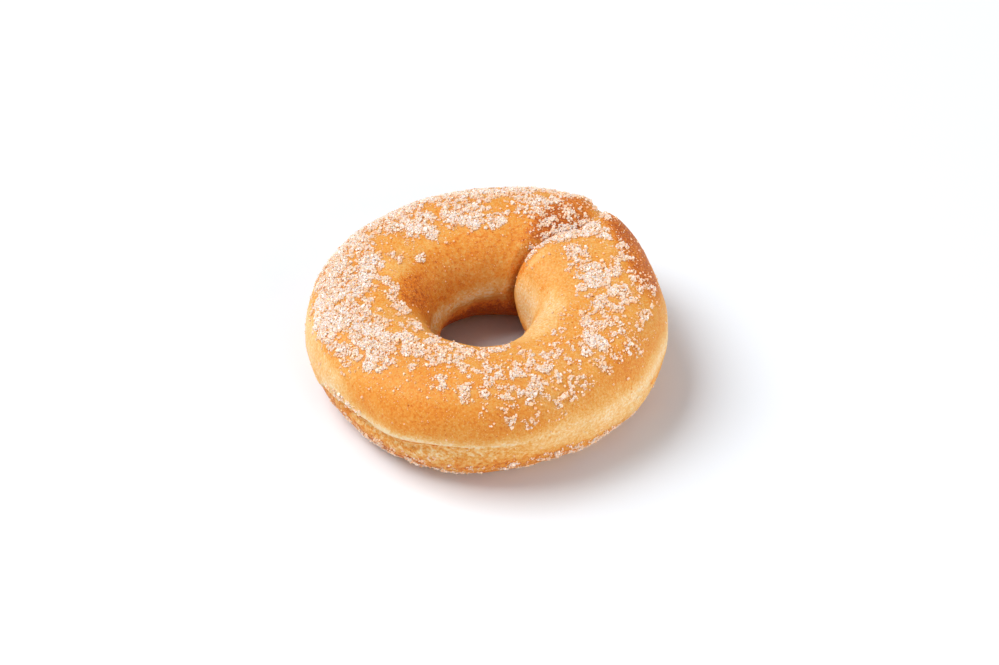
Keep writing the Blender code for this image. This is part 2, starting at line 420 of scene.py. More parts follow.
@dataclass
class NodeTree:
    """A node tree under construction, with short ways to add and link its nodes."""

    tree: bpy.types.NodeTree

    def add(self, kind: str, settings: dict | None = None, **values: object) -> Node:
        """Add a node.

        Args:
            kind: the node's Blender type name.
            settings: properties of the node.
            **values: input values or sockets to link, by socket name with _ for a blank.

        Returns:
            The node.
        """
        node = self.tree.nodes.new(kind)
        for name, value in (settings or {}).items():
            setattr(node, name, value)
        return self.fill(node, **values)

    def fill(self, node: Node, **values: object) -> Node:
        """Set a node's inputs, or link them.

        Args:
            node: the node.
            **values: input values or sockets to link, by socket name with _ for a blank.

        Returns:
            The node.
        """
        for name, value in values.items():
            self.feed(node.inputs[name.replace("_", " ")], value)
        return node

    def feed(self, socket: Socket, value: object) -> None:
        """Link a socket to another, or set its value."""
        if isinstance(value, Socket):
            self.tree.links.new(value, socket)
        else:
            socket.default_value = value

    def math(self, operation: str, first: object, second: object = 0.0) -> Socket:
        """Add a Math node.

        Args:
            operation: what it does, in Blender's word.
            first: its first value or a socket to link.
            second: its second one.

        Returns:
            Its output.
        """
        node = self.add("ShaderNodeMath", {"operation": operation})
        self.feed(node.inputs[0], first)
        self.feed(node.inputs[1], second)
        return node.outputs[0]

    def span(self, value: object, low: object, high: object, to_low: float = 0.0,
             to_high: float = 1.0) -> Socket:
        """Add a clamped smooth Map Range node.

        Args:
            value: what it reads.
            low: the value, or a socket, that gives the lower output.
            high: the one that gives the higher output.
            to_low: the lower output.
            to_high: the higher output.

        Returns:
            Its output.
        """
        return self.add(
            "ShaderNodeMapRange", {"interpolation_type": "SMOOTHSTEP"}, Value=value, From_Min=low,
            From_Max=high, To_Min=to_low, To_Max=to_high,
        ).outputs[0]

    def mix(self, factor: object, first: object, second: object) -> Socket:
        """Add a colour Mix node.

        Args:
            factor: the share of the second colour, or a socket.
            first: the first colour, or a socket.
            second: the second colour, or a socket.

        Returns:
            Its output.
        """
        node = self.add("ShaderNodeMix", {"data_type": "RGBA"})
        factor_socket, first_socket, second_socket = [item for item in node.inputs if item.enabled]
        self.feed(factor_socket, factor)
        for socket, colour in ((first_socket, first), (second_socket, second)):
            self.feed(socket, colour if isinstance(colour, Socket) else (*colour, 1.0))
        return next(item for item in node.outputs if item.enabled)

    def read(self, name: str) -> Socket:
        """Add a node that reads one of the mesh's own numbers, and give its output."""
        return self.add("ShaderNodeAttribute", {"attribute_name": name}).outputs["Fac"]

    def ramp(self, value: object, stops: tuple[tuple[float, Colour], ...]) -> Socket:
        """Add a Color Ramp node.

        Args:
            value: what it reads.
            stops: its positions, 0 to 1, with their colours.

        Returns:
            Its colour.
        """
        node = self.add("ShaderNodeValToRGB", Fac=value)
        elements = node.color_ramp.elements
        while len(elements) < len(stops):
            elements.new(0.5)
        for element, (position, colour) in zip(elements, stops):
            element.position = position
            element.color = (*colour, 1.0)
        return node.outputs["Color"]

    def noise(self, scale: object, detail: float, rough: float = 0.5) -> Socket:
        """Add a Noise node on the object's own coordinates.

        Args:
            scale: how many swings there are in a metre, or a socket.
            detail: how many finer layers it adds.
            rough: how strong each finer layer is.

        Returns:
            Its value, 0 to 1.
        """
        where = self.add("ShaderNodeTexCoord").outputs["Object"]
        node = self.add("ShaderNodeTexNoise", Vector=where, Scale=scale, Detail=detail, Roughness=rough)
        return node.outputs[0]


class EffectGroup(Enum):
    """The shader node groups that the materials share, by their names in Blender."""

    TONE_DRIFT = "tone_drift"
    FINE_GRAIN = "fine_grain"
    SPECKS = "specks"

    def fetch(self) -> bpy.types.NodeTree:
        """Give the group, built the first time it is asked for."""
        known = bpy.data.node_groups.get(self.value)
        if known:
            return known
        group = bpy.data.node_groups.new(self.value, "ShaderNodeTree")
        {
            EffectGroup.TONE_DRIFT: build_tone_drift,
            EffectGroup.FINE_GRAIN: build_fine_grain,
            EffectGroup.SPECKS: build_specks,
        }[self](group)
        return group

    def place(self, nodes: NodeTree, **values: object) -> Node:
        """Place the group in a material with its own values."""
        return nodes.add("ShaderNodeGroup", {"node_tree": self.fetch()}, **values)


def open_group(group: bpy.types.NodeTree, inputs: dict[str, float],
               outputs: tuple[str, ...]) -> tuple[NodeTree, dict[str, Socket], Node]:
    """Give a group its number sockets.

    Args:
        group: the new, empty group.
        inputs: the input sockets' names and default values.
        outputs: the output sockets' names.

    Returns:
        The tree to build in, its inputs by name, and the node that takes the outputs.
    """
    for name, value in inputs.items():
        socket = group.interface.new_socket(name, in_out="INPUT", socket_type="NodeSocketFloat")
        socket.default_value = value
    for name in outputs:
        group.interface.new_socket(name, in_out="OUTPUT", socket_type="NodeSocketFloat")
    nodes = NodeTree(group)
    entry = nodes.add("NodeGroupInput")
    return nodes, {name: entry.outputs[name] for name in inputs}, nodes.add("NodeGroupOutput")


def build_tone_drift(group: bpy.types.NodeTree) -> None:
    """Build slow patches of lighter and darker tone on top of a given tone."""
    nodes, given, out = open_group(group, {"Tone": 0.5, "Strength": 0.1, "Scale": 100.0}, ("Tone",))
    broad = nodes.noise(given["Scale"], 3.0, 0.55)
    close = nodes.noise(nodes.math("MULTIPLY", given["Scale"], 5.3), 2.0, 0.6)
    both = nodes.math("ADD", nodes.math("MULTIPLY", broad, 0.7), nodes.math("MULTIPLY", close, 0.3))
    shift = nodes.math("MULTIPLY", nodes.math("SUBTRACT", both, 0.5), given["Strength"])
    nodes.fill(out, Tone=nodes.math("ADD", given["Tone"], nodes.math("MULTIPLY", shift, 4.0)))


def build_fine_grain(group: bpy.types.NodeTree) -> None:
    """Build a fine pebbled height with small pores, and a mask of the pores."""
    nodes, given, out = open_group(group, {"Scale": 1500.0, "Pores": 0.5}, ("Height", "Pore"))
    pebbles = nodes.noise(given["Scale"], 4.0, 0.6)
    where = nodes.add("ShaderNodeTexCoord").outputs["Object"]
    cell_scale = nodes.math("MULTIPLY", given["Scale"], 0.45)
    cells = nodes.add("ShaderNodeTexVoronoi", Vector=where, Scale=cell_scale)
    some = nodes.span(nodes.noise(nodes.math("MULTIPLY", given["Scale"], 0.2), 1.0), 0.45, 0.6)
    pore = nodes.math("MULTIPLY", nodes.span(cells.outputs["Distance"], 0.28, 0.08), some)
    pore = nodes.math("MULTIPLY", pore, given["Pores"])
    nodes.fill(out, Height=nodes.math("SUBTRACT", pebbles, pore), Pore=pore)


def build_specks(group: bpy.types.NodeTree) -> None:
    """Build scattered round specks as a mask, which is also their height."""
    nodes, given, out = open_group(group, {"Scale": 2500.0, "Cover": 0.5, "Radius": 0.3}, ("Mask",))
    where = nodes.add("ShaderNodeTexCoord").outputs["Object"]
    cells = nodes.add("ShaderNodeTexVoronoi", Vector=where, Scale=given["Scale"])
    chance = nodes.add("ShaderNodeSeparateColor", Color=cells.outputs["Color"]).outputs[0]
    chosen = nodes.math("LESS_THAN", chance, given["Cover"])
    edge = nodes.math("MULTIPLY", given["Radius"], 0.55)
    round_mask = nodes.span(cells.outputs["Distance"], given["Radius"], edge)
    nodes.fill(out, Mask=nodes.math("MULTIPLY", round_mask, chosen))


def new_material(name: str) -> tuple[bpy.types.Material, NodeTree, Node]:
    """Make a material.

    Args:
        name: the material's name.

    Returns:
        The material, its tree and its Principled shader.
    """
    material = bpy.data.materials.new(name)
    material.use_nodes = True
    return material, NodeTree(material.node_tree), material.node_tree.nodes["Principled BSDF"]


@dataclass(frozen=True)
class Finish:
    """What the finishes share: how rough and glossy they are, and how light sinks in and spreads."""

    name: str = "finish"
    roughness: tuple[float, float] = (0.5, 0.5)
    specular: float = 0.5
    sunk: float = 0.0
    sunk_radius: Colour = (1.0, 1.0, 1.0)
    sunk_depth: float = 1.0 * MM

    def gloss(self, nodes: NodeTree, shader: Node) -> None:
        """Set the shader's gloss and how light sinks into it."""
        nodes.fill(
            shader, Specular_IOR_Level=self.specular, Subsurface_Weight=self.sunk,
            Subsurface_Radius=self.sunk_radius, Subsurface_Scale=self.sunk_depth,
        )


@dataclass(frozen=True)
class CrustFinish(Finish):
    """Fried crust: a tone from pale to brown, its colour, its grain, the sugar dust on it and painted shade
    between the sugar grains.
    """

    name: str = "fried_crust"
    ramp: tuple[tuple[float, Colour], ...] = (
        (0.00, (0.88, 0.68, 0.43)),
        (0.12, (0.86, 0.60, 0.31)),
        (0.24, (0.84, 0.49, 0.175)),
        (0.42, (0.78, 0.365, 0.078)),
        (0.60, (0.76, 0.268, 0.030)),
        (0.78, (0.67, 0.178, 0.017)),
        (1.00, (0.40, 0.076, 0.007)),
    )
    dust_colour: Colour = (0.92, 0.54, 0.22)
    pores: float = 0.25
    # The pore tone is painted shade: the pores are drawn a little browner, as the shade inside them.
    pore_shade: float = 0.02
    grain_tone: float = 1.00
    crumb_tone: float = 0.55
    crumb_size: float = 1.2 * MM
    crumb_range: tuple[float, float] = (0.36, 0.64)
    # Painted shade: the crust is mixed towards this brown between and around the sugar grains.
    painted_gap_shade_colour: Colour = (0.50, 0.19, 0.05)
    painted_gap_shade_share: float = 0.70
    tone_strength: float = 0.12
    tone_size: float = 9.0 * MM
    grain_size: float = 0.55 * MM
    grain_height: float = 0.15 * MM
    dimple_size: float = 2.6 * MM
    dimple_height: float = 0.12 * MM
    dust_size: float = 0.42 * MM
    dust_radius: float = 0.34
    dust_share: float = 0.75
    dust_height: float = 0.06 * MM
    roughness: tuple[float, float] = (0.42, 0.66)
    specular: float = 0.18
    sunk: float = 0.16
    sunk_radius: Colour = (1.0, 0.42, 0.16)
    sunk_depth: float = 1.6 * MM

    def material(self) -> bpy.types.Material:
        """Build the material."""
        material, nodes, shader = new_material(self.name)
        fry_and_shade, dust = nodes.read("fry_and_shade"), nodes.read("dust")
        crumb, under = nodes.read("crumb"), nodes.read("painted_gap_shade")
        drift = EffectGroup.TONE_DRIFT.place(
            nodes, Tone=fry_and_shade, Strength=self.tone_strength, Scale=1.0 / self.tone_size
        )
        grain = EffectGroup.FINE_GRAIN.place(nodes, Scale=1.0 / self.grain_size, Pores=self.pores)
        height = grain.outputs["Height"]
        # Painted shade in the pores.
        darker = nodes.math("MULTIPLY", grain.outputs["Pore"], self.pore_shade)
        mottle = nodes.math("MULTIPLY", nodes.math("SUBTRACT", 0.5, height), self.grain_tone)
        tone = nodes.math("ADD", nodes.math("ADD", drift.outputs["Tone"], darker), mottle)
        flecks = nodes.span(nodes.noise(1.0 / self.crumb_size, 3.0, 0.6), *self.crumb_range, -0.5, 0.5)
        flecks = nodes.math("MULTIPLY", flecks, nodes.math("MULTIPLY", crumb, self.crumb_tone))
        fried = nodes.ramp(nodes.math("ADD", tone, flecks), self.ramp)
        # Painted shade: the crust darkens towards a shaded brown where sugar lies on it.
        fried = nodes.mix(nodes.math("MULTIPLY", under, self.painted_gap_shade_share), fried, self.painted_gap_shade_colour)
        specks = EffectGroup.SPECKS.place(
            nodes, Scale=1.0 / self.dust_size, Cover=dust, Radius=self.dust_radius
        ).outputs["Mask"]
        shown = nodes.math("MULTIPLY", specks, self.dust_share)
        nodes.fill(
            shader, Base_Color=nodes.mix(shown, fried, self.dust_colour),
            Roughness=nodes.span(height, 0.2, 0.8, *self.roughness),
            Normal=self.bumps(nodes, height, specks),
        )
        self.gloss(nodes, shader)
        return material

    def bumps(self, nodes: NodeTree, grain: Socket, specks: Socket) -> Socket:
        """Lay the dimples, the grain and the dust one on another.

        Args:
            nodes: the material's tree.
            grain: the height of the grain.
            specks: the height of the dust.

        Returns:
            The surface's normal.
        """
        dimples = nodes.noise(1.0 / self.dimple_size, 2.0)
        normal = None
        for height, depth in (
            (dimples, self.dimple_height), (grain, self.grain_height), (specks, self.dust_height)
        ):
            bump = nodes.add("ShaderNodeBump", Strength=1.0, Distance=depth, Height=height)
            if normal is not None:
                nodes.fill(bump, Normal=normal)
            normal = bump.outputs["Normal"]
        return normal


@dataclass(frozen=True)
class SugarFinish(Finish):
    """Sugar crystals: clear white, warm where the crust shines through, or brown as painted shade in the
    gaps.
    """

    name: str = "sugar_crystal"
    ramp: tuple[tuple[float, Colour], ...] = (
        (0.00, (1.00, 0.88, 0.82)),
        (0.22, (1.00, 0.79, 0.67)),
        (0.50, (0.98, 0.62, 0.38)),
        (0.75, (0.88, 0.46, 0.18)),
        # The brown end is painted shade: the dark gaps between crystals and the grains' shaded lower sides.
        (1.00, (0.62, 0.27, 0.08)),
    )
    tone_strength: float = 0.05
    tone_size: float = 4.0 * MM
    roughness: tuple[float, float] = (0.20, 0.45)
    specular: float = 0.5
    sunk: float = 0.45
    sunk_radius: Colour = (1.0, 0.7, 0.5)
    sunk_depth: float = 0.35 * MM

    def material(self) -> bpy.types.Material:
        """Build the material."""
        material, nodes, shader = new_material(self.name)
        drift = EffectGroup.TONE_DRIFT.place(
            nodes, Tone=nodes.read("tint"), Strength=self.tone_strength, Scale=1.0 / self.tone_size
        )
        tone = drift.outputs["Tone"]
        rough = nodes.span(tone, 0.0, 1.0, *self.roughness)
        nodes.fill(shader, Base_Color=nodes.ramp(tone, self.ramp), Roughness=rough)
        self.gloss(nodes, shader)
        return material


def add_object(name: str, data: bpy.types.ID) -> Object:
    """Add an object to the scene."""
    piece = bpy.data.objects.new(name, data)
    bpy.context.scene.collection.objects.link(piece)
    return piece


def quad_mesh(name: str, points: Array, quads: Array, smooth: bool) -> Mesh:
    """Make a mesh quickly from arrays.

    Args:
        name: the mesh's name.
        points: its points, one row each.
        quads: four point numbers for each face, counter-clockwise from outside.
        smooth: whether its faces are shaded smooth.

    Returns:
        The mesh.
    """
    mesh = bpy.data.meshes.new(name)
    mesh.vertices.add(len(points))
    mesh.vertices.foreach_set("co", points.astype(np.float32).ravel())
    mesh.loops.add(quads.size)
    mesh.loops.foreach_set("vertex_index", quads.astype(np.int32).ravel())
    mesh.polygons.add(len(quads))
    mesh.polygons.foreach_set("loop_start", np.arange(0, quads.size, 4, dtype=np.int32))
    mesh.polygons.foreach_set("use_smooth", np.full(len(quads), smooth))
    mesh.update(calc_edges=True)
    mesh.validate()
    return mesh


def set_numbers(mesh: Mesh, name: str, values: Array) -> None:
    """Store one number for each point of a mesh, for its material to read."""
    layer = mesh.attributes.new(name, "FLOAT", "POINT")
    layer.data.foreach_set("value", values.astype(np.float32).ravel())


@dataclass(frozen=True)
class Lip:
    """The uneven edge of the upper half where it overhangs the lower one, and the groove under it."""

    section: float = 2.6
    rises: tuple[Patch, ...] = patches(
        (223, 0, 8, 40, 3.0), (208, 0, 5, 40, -4.0), (190, 0, 12, 60, -16.0),
    )
    wander: Noise = Noise(4.0 * MM, 1.2, seed=10)
    groove: float = 0.6 * MM
    groove_side: Band = before(0.0, 1.6)
    refill: float = 0.6
    refilled: Band = before(-4.0, 18.0)
    groove_end: Band = past(-70.0, 30.0)
    line: float = 0.45 * MM
    line_drop: float = 2.0
    line_width: float = 1.4

    def above(self, skin: Skin) -> Array:
        """Give how far points lie above the lip's edge, in degrees round the section."""
        return skin.section - self.section - add_up(self.rises, skin) - self.wander.at(skin.points)

    def depth(self, above: Array) -> Array:
        """Give how deep the skin sinks under the lip, in metres."""
        groove = self.groove_side.share(above) - self.refill * self.refilled.share(above)
        groove = self.groove * groove * self.groove_end.share(above)
        return groove + self.line * bell(above, -self.line_drop, self.line_width)


@dataclass(frozen=True)
class PaleWaist:
    """The pale band round the outside: a line over the lip, broad at the right, broken at the back."""

    rise: float = 1.0
    width: float = 5.5
    broad: Band = past(262.0, 40.0)
    broad_rise: float = 1.5
    broad_width: float = 4.5
    broad_fading: float = 0.22
    dropped: Band = Band(254.0, 340.0, 18.0, 18.0)
    drop: float = 3.5
    widened: Band = before(200.0, 30.0)
    widening: float = 2.5
    both_sides: Band = before(206.0, 10.0)
    below_share: float = 0.10
    dim_angle: float = 300.0
    dim_width: float = 34.0
    dimming: float = 0.26
    back: Band = Band(74.0, 206.0, 30.0, 16.0)
    back_fading: float = 0.40
    back_breaks: Noise = Noise(14.0 * MM, 0.40, seed=12)

    def share(self, skin: Skin, above: Array, wander: Array) -> Array:
        """Give how pale the band is at each point.

        Args:
            skin: the fine skin.
            above: how far its points lie above the lip's edge, in degrees.
            wander: how far the band strays there, in degrees.

        Returns:
            The paleness, 0 to 1.
        """
        broad = self.broad.share(skin.angle)
        drop = self.drop * self.dropped.share(skin.angle)
        middle = self.rise + self.broad_rise * broad - drop + wander
        width = self.width + self.broad_width * broad + self.widening * self.widened.share(skin.angle)
        full = np.maximum(broad, self.both_sides.share(skin.angle))
        below = self.below_share + (1.0 - self.below_share) * full
        pale = bell(above, middle, width) * np.where(above < -drop, below, 1.0)
        dim = self.dimming * bell(skin.angle, self.dim_angle, self.dim_width)
        pale = pale * (1.0 - self.broad_fading * broad - dim)
        broken = self.back_fading + self.back_breaks.at(skin.points)
        return pale * (1.0 - self.back.share(skin.angle) * broken)


@dataclass(frozen=True)
class PaleHole:
    """The pale band deep in the hole, which sinks and fades near the seam."""

    section: float = 181.0
    width: float = 10.0
    wander: float = 2.0
    near_tail: Band = before(90.0, 34.0)
    tail_drop: float = 7.0
    strength: float = 0.74
    faded: Band = before(84.0, 24.0)
    fading: float = 0.34
    length: Band = before(320.0, 30.0)

    def share(self, skin: Skin, wander: Array) -> Array:
        """Give how pale the band is at each point, 0 to 1."""
        middle = self.section - self.tail_drop * self.near_tail.share(skin.angle) + self.wander * wander
        strength = self.strength - self.fading * self.faded.share(skin.angle)
        return bell(skin.section, middle, self.width) * strength * self.length.share(skin.angle)


@dataclass(frozen=True)
class FryingAndShade:
    """Where the crust is brown, pale, dusted with fine sugar or flecked with open crumb, and where shade is
    painted into it.
    """

    tone: float = 0.46
    # Browner patches; the one at 410, 148 is painted shade in the seam's crease, and the one at 339, -8 is
    # painted shade in the pit.
    browner_and_shaded: tuple[Patch, ...] = patches(
        (60, 84, 9, 42, 0.38), (100, 82, 34, 38, 0.07), (386, 44, 26, 18, 0.40), (168, 134, 18, 14, 0.12),
        (396, 154, 14, 7, 0.08), (410, 148, 4, 24, 0.20), (256, 26, 40, 16, 0.08), (335, 34, 26, 14, 0.08),
        (208, -34, 34, 22, 0.34), (268, -36, 44, 18, 0.16), (316, -40, 26, 10, 0.05),
        (240, 60, 60, 30, 0.05), (339, -8, 2, 3, 0.25),
    )
    paler: tuple[Patch, ...] = patches(
        (384, 169, 28, 20, 0.28), (326, 134, 34, 18, 0.22), (362, 144, 12, 12, 0.12),
        (406, 138, 4, 12, 0.12), (212, 124, 7, 8, 0.14), (343, 12, 9, 14, 0.10), (194, 18, 26, 16, 0.24),
        (216, 8, 10, 6, 0.18), (262, -14, 24, 10, 0.06), (314, -14, 28, 12, 0.18), (225, -18, 30, 14, 0.06),
    )
    drift: Noise = Noise(11.0 * MM, 0.05, seed=3)
    wall: Band = Band(114.0, 173.0, 14.0, 6.0)
    wall_length: Band = before(200.0, 24.0)
    wall_browning: float = 0.12
    wall_darker: Band = past(90.0, 60.0)
    wall_darkening: float = 0.08
    # Painted shade: a brown line in the crease under the lip, strongest at the front left.
    lip_shade_start: Band = past(204.0, 8.0)
    lip_shade_full: Band = before(240.0, 14.0)
    lip_shade_least: float = 0.2
    lip_shade: float = 0.38
    line_width: float = 1.1
    # Darker on the lower inner wall and the underside: partly browner frying, partly painted shade.
    underside: Band = Band(188.0, 262.0, 24.0, 50.0)
    underside_browning_and_shade: float = 0.55
    wander: tuple[Noise, ...] = (
        Noise(9.0 * MM, 2.0, seed=4), Noise(3.0 * MM, 1.5, seed=9),
    )
    waist: PaleWaist = PaleWaist()
    hole: PaleHole = PaleHole()
    paleness: float = 0.9
    dust_least: float = 0.18
    dust_more: float = 0.24
    dust_top: Band = Band(-30.0, 180.0, 30.0, 20.0)
    dust_wall: Band = Band(104.0, 178.0, 20.0, 10.0)
    dust_wall_share: float = 0.8
    dust_drift: Noise = Noise(6.0 * MM, 0.12, seed=5)
    crumb_side: Band = before(1.0, 3.0)
    crumb_end: Band = past(-90.0, 30.0)
    crumb_length: Band = Band(170.0, 312.0, 20.0, 60.0)
    crumb_least: float = 0.18
    crumb_more: float = 0.62
    crumb_wall: Band = past(108.0, 16.0)
    crumb_wall_share: float = 0.36

    def fry_and_shade(self, skin: Skin, above: Array, line: Array) -> Array:
        """Give how brown the crust is at each point, with painted shade in the crease under the lip, the
        seam's crease, a pit and the underside.

        Args:
            skin: the fine skin.
            above: how far its points lie above the lip's edge, in degrees.
            line: how near they lie to the crease under the lip, where shade is painted as a brown line, 0 to
                1.

        Returns:
            The tone, from 0 pale to 1 dark brown.
        """
        angle, section = skin.angle, skin.section
        browning = self.wall_browning + self.wall_darkening * self.wall_darker.share(angle)
        fry_and_shade = self.tone + browning * self.wall.share(section) * self.wall_length.share(angle)
        # Painted shade in the crease under the lip.
        strength = self.lip_shade_least + (1.0 - self.lip_shade_least) * self.lip_shade_full.share(angle)
        fry_and_shade = fry_and_shade + self.lip_shade * line * self.lip_shade_start.share(angle) * strength
        # Browner frying and painted shade on the lower inner wall and the underside.
        fry_and_shade = fry_and_shade + self.underside_browning_and_shade * self.underside.share(section)
        fry_and_shade = fry_and_shade + add_up(self.browner_and_shaded, skin) - add_up(self.paler, skin)
        fry_and_shade = fry_and_shade + self.drift.at(skin.points)
        wander = sum(noise.at(skin.points) for noise in self.wander)
        pale = np.maximum(self.waist.share(skin, above, wander), self.hole.share(skin, wander))
        return np.clip(fry_and_shade * (1.0 - self.paleness * pale), 0.0, 1.0)

    def dust(self, skin: Skin) -> Array:
        """Give how much fine sugar dust the crust holds at each point, 0 to 1."""
        share = self.dust_top.share(skin.section) + self.dust_wall_share * self.dust_wall.share(skin.section)
        dust = self.dust_least + self.dust_more * share + self.dust_drift.at(skin.points)
        return np.clip(dust, 0.0, 1.0)

    def crumb(self, skin: Skin, above: Array) -> Array:
        """Give how flecked and open the crust is, which is most below the lip.

        Args:
            skin: the fine skin.
            above: how far its points lie above the lip's edge, in degrees.

        Returns:
            The share of open crumb at each point, 0 to 1.
        """
        lower = self.crumb_side.share(above) * self.crumb_end.share(skin.section)
        lower = lower * (self.crumb_least + self.crumb_more * self.crumb_length.share(skin.angle))
        wall = self.crumb_wall.share(skin.section) * self.wall_length.share(skin.angle)
        return np.maximum(lower, self.crumb_wall_share * wall)


@dataclass
class Dough:
    """The fried dough: its fine skin with the lip, pits and dimples, and its crust."""

    shape: DoughShape
    rings: int = 400
    head_rings: int = 44
    section_points: int = 220
    waist_focus: float = 0.17
    lip_focus: float = 0.28
    dimples: Noise = Noise(7.0 * MM, 0.16 * MM, seed=1)
    ripples: Noise = Noise(2.4 * MM, 0.035 * MM, seed=2)
    resting: Band = past(0.0, 1.5 * MM)
    head_fade: float = 30.0
    tail_fade: float = 4.0
    lip: Lip = Lip()
    lip_reach: float = 1.2
    pits: tuple[Pit, ...] = (
        Pit(angle=339.0, section=-8.0, radius=0.8 * MM, depth=1.5 * MM),
        Pit(angle=246.0, section=-8.0, radius=0.35 * MM, depth=0.6 * MM),
    )
    frying_and_shade: FryingAndShade = FryingAndShade()
    finish: CrustFinish = CrustFinish()
    skin: Skin | None = None

    def build(self) -> Object:
        """Build the dough's skin as one closed mesh, unroll it flat for the bake, and dress it."""
        self.skin = self.fine_skin()
        rings, count = self.skin.angle.shape
        ring, point = np.meshgrid(np.arange(rings), np.arange(count), indexing="ij")
        corners = [(ring, point), (ring + 1, point), (ring + 1, point + 1), (ring, point + 1)]
        quads = np.stack([across % rings * count + around % count for across, around in corners], axis=-1)
        mesh = quad_mesh("dough", self.skin.points.reshape(-1, 3), quads.reshape(-1, 4), smooth=True)
        flat = [np.stack([across / rings, around / count], axis=-1) for across, around in corners]
        layer = mesh.uv_layers.new(name="OFBake")
        layer.data.foreach_set("uv", np.stack(flat, axis=-2).astype(np.float32).ravel())
        above = self.lip.above(self.skin)
        # How near each point lies to the crease under the lip, where shade is painted.
        line = self.tucked(self.skin.angle) * bell(above, -self.lip.line_drop, self.frying_and_shade.line_width)
        set_numbers(mesh, "fry_and_shade", self.frying_and_shade.fry_and_shade(self.skin, above, line))
        set_numbers(mesh, "dust", self.frying_and_shade.dust(self.skin))
        set_numbers(mesh, "crumb", self.frying_and_shade.crumb(self.skin, above))
        mesh.materials.append(self.finish.material())
        return add_object("dough", mesh)

    def fine_skin(self) -> Skin:
        """Work out the fine grid of the skin, with its relief."""
        shape = self.shape
        rope = np.linspace(shape.tail, shape.head_start, self.rings, endpoint=False)
        rope = np.concatenate([rope, np.full(self.head_rings, shape.head_start)])
        bend = np.concatenate([np.zeros(self.rings), np.linspace(0.0, shape.head_turn, self.head_rings)])
        even = np.linspace(0.0, 2.0 * math.pi, self.section_points, endpoint=False)
        turn = even - self.waist_focus * np.sin(2.0 * even) - self.lip_focus * np.sin(even)
        rope, turn = np.meshgrid(rope, turn, indexing="ij")
        bend = np.broadcast_to(bend[:, None], rope.shape)
        points = shape.skin(rope, bend, turn)
        along_head = math.degrees(shape.head_length / shape.ring_radius) * np.sin(np.radians(bend))
        section = np.degrees(turn)
        section = np.where(section > 270.0, section - 360.0, section)
        plain = Skin(points, grid_normals(points), rope + along_head, section)
        closing = ease((shape.head_turn - bend) / self.head_fade)
        closing = closing * ease((rope - shape.tail) / self.tail_fade)
        relief = self.relief(plain) * self.resting.share(points[..., 2]) * closing
        points = points + plain.normals * relief[..., None]
        points[..., 2] = np.maximum(points[..., 2], 0.0)
        return Skin(points, grid_normals(points), plain.angle, section)

    def relief(self, plain: Skin) -> Array:
        """Give how far the skin stands out of its plain form.

        Args:
            plain: the plain form's skin.

        Returns:
            The height of the relief at each point, in metres.
        """
        height = self.dimples.at(plain.points) + self.ripples.at(plain.points)
        height = height - self.tucked(plain.angle) * self.lip.depth(self.lip.above(plain))
        for pit in self.pits:
            place = np.array([[pit.angle], [0.0], [math.radians(pit.section)]])
            distance = np.linalg.norm(plain.points - self.shape.skin(*place)[0], axis=-1)
            height = height - pit.depth * bell(distance, 0.0, pit.radius)
        return height

    def tucked(self, angle: Array) -> Array:
        """Give how far the lower half is tucked under the lip at rope angles in degrees, 0 to 1."""
        return ease(self.lip_reach - np.abs(angle - self.shape.lip_angle) / self.shape.lip_span)


CUBE_CORNERS = np.array([(x, y, z) for z in (-1.0, 1.0) for y in (-1.0, 1.0) for x in (-1.0, 1.0)])
CUBE_FACES = np.array([(0, 2, 3, 1), (4, 5, 7, 6), (0, 1, 5, 4), (2, 6, 7, 3), (0, 4, 6, 2), (1, 3, 7, 5)])


class Grain(Enum):
    """The kinds of sugar, by the names of their pieces."""

    COARSE = "sugar_coarse"
    MEDIUM = "sugar_medium"
    FINE = "sugar_fine"
    DUST = "sugar_dust"


@dataclass(frozen=True)
class GrainKind:
    """One kind of sugar crystal: how many at most, how large, how far apart and how high they pile.

    A higher focus keeps the kind to the thick of the drifts. The stray share is the chance of single
    grains between them, and the low share is how much of the kind sticks below the waist.
    """

    grain: Grain
    count: int
    size: float
    spread: float
    spacing: float
    pile: float
    focus: float
    stray: float
    low_share: float
    seed: int


